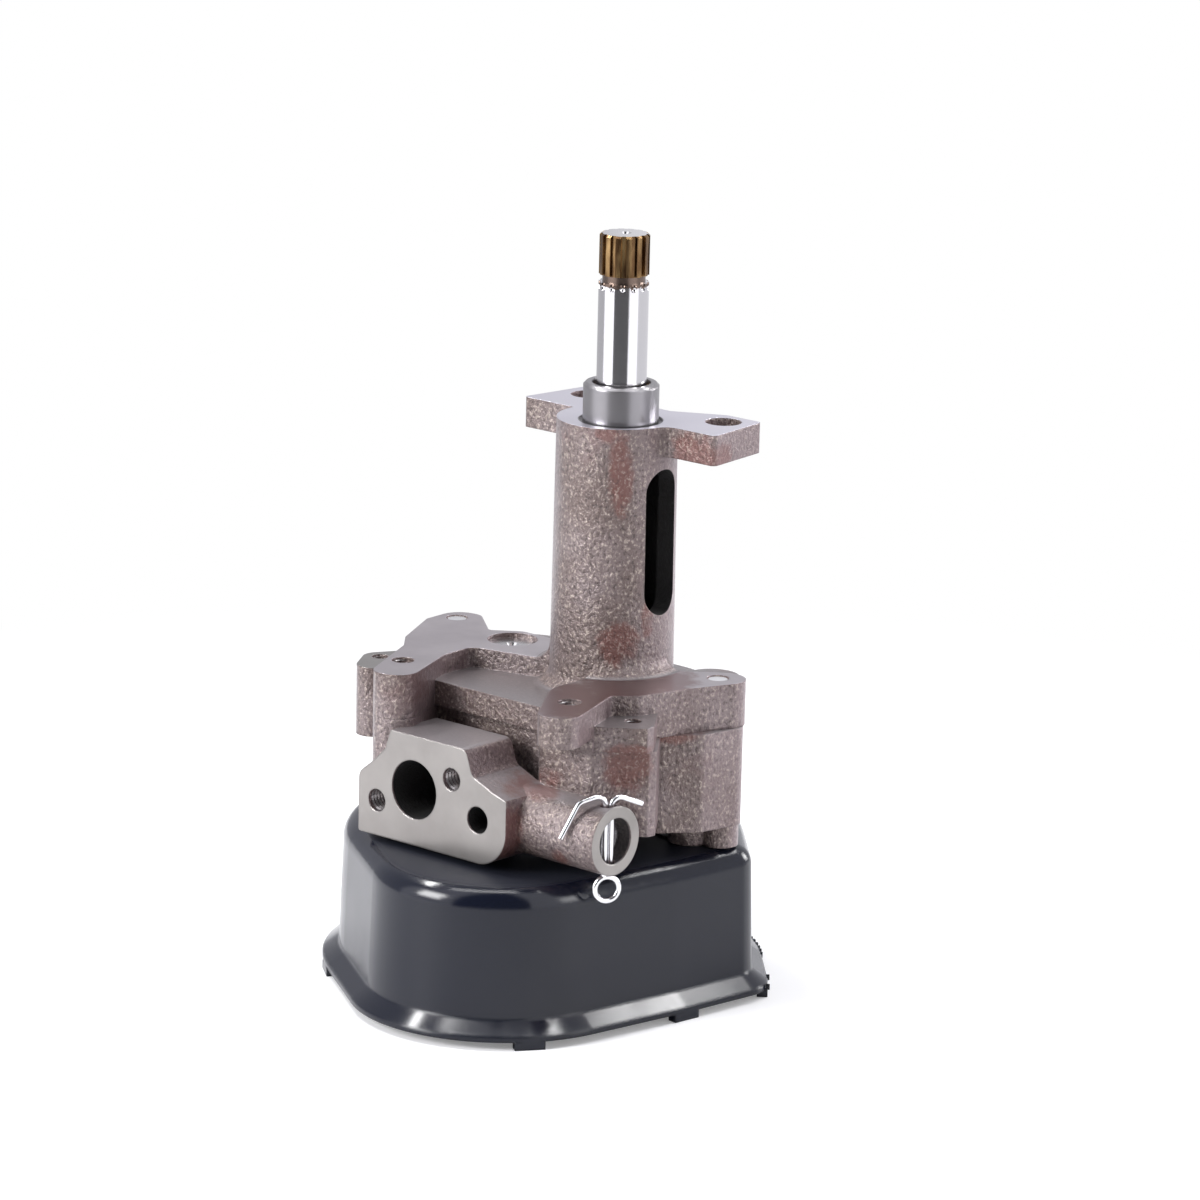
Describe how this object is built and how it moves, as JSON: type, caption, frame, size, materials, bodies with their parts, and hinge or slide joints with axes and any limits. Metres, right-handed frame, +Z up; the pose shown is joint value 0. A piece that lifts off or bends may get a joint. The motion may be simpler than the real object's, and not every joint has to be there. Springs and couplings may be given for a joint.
{
  "type": "engine oil pump",
  "caption": "Gear oil pump with a flanged drive tower, splined shaft, side outlet boss, relief valve and a pressed-steel strainer pan.",
  "frame": {"origin": "on the drive shaft's axis, in the machined face of the top mounting flange", "axes": "+Z up the drive shaft, the outlet face looks along -Y and the relief valve opens along +X"},
  "size_m": [0.1351, 0.1466, 0.2263],
  "materials": {
    "tower_housing": "rough cast with machined faces",
    "gear_housing": "rough cast with machined faces",
    "drive_shaft": "polished",
    "drive_gear": "satin",
    "gear_key": "satin",
    "idler_shaft": "satin",
    "idler_gear": "satin",
    "idler_bush": "satin",
    "upper_bush": "satin",
    "lower_bush": "satin",
    "tail_bush": "satin",
    "dowel_pins": "ground",
    "housing_bolts": "black oxide",
    "housing_washers": "zinc plated",
    "relief_plunger": "ground",
    "relief_spring": "oiled",
    "spring_seat": "satin",
    "split_pin": "bright zinc",
    "strainer_gasket": "matte",
    "strainer_pan": "satin gloss black",
    "strainer_screen": "woven wire",
    "screen_frame": "satin",
    "strainer_bolts": "black oxide",
    "strainer_washers": "zinc plated"
  },
  "bodies": {
    "housing": {"tower_housing": "tower_housing", "gear_housing": "gear_housing", "upper_bush": "upper_bush", "lower_bush": "lower_bush", "tail_bush": "tail_bush", "idler_shaft": "idler_shaft", "dowel_pins": "dowel_pins", "housing_bolts": "housing_bolts", "housing_washers": "housing_washers", "relief_spring": "relief_spring", "spring_seat": "spring_seat", "split_pin": "split_pin", "strainer_gasket": "strainer_gasket", "strainer_pan": "strainer_pan", "strainer_screen": "strainer_screen", "screen_frame": "screen_frame", "strainer_bolts": "strainer_bolts", "strainer_washers": "strainer_washers"},
    "drive": {"drive_shaft": "drive_shaft", "drive_gear": "drive_gear", "gear_key": "gear_key"},
    "idler": {"idler_gear": "idler_gear", "idler_bush": "idler_bush"},
    "plunger": {"relief_plunger": "relief_plunger"}
  },
  "joints": [
    {"name": "drive_spin", "type": "hinge", "parent": "housing", "child": "drive", "pos_m": [0, 0, 0], "axis": [0, 0, 1], "continuous": true},
    {"name": "idler_spin", "type": "hinge", "parent": "housing", "child": "idler", "pos_m": [-0.0406, 0, 0], "axis": [0, 0, 1], "continuous": true},
    {"name": "relief_slide", "type": "slide", "parent": "housing", "child": "plunger", "axis": [1, 0, 0], "range_m": [0, 0.007], "stiffness_N_per_m": 3000, "springref_m": -0.004, "deforming": ["relief_spring"]}
  ],
  "couplings": [
    {"joint": "idler_spin", "follows": "drive_spin", "ratio": -1}
  ]
}
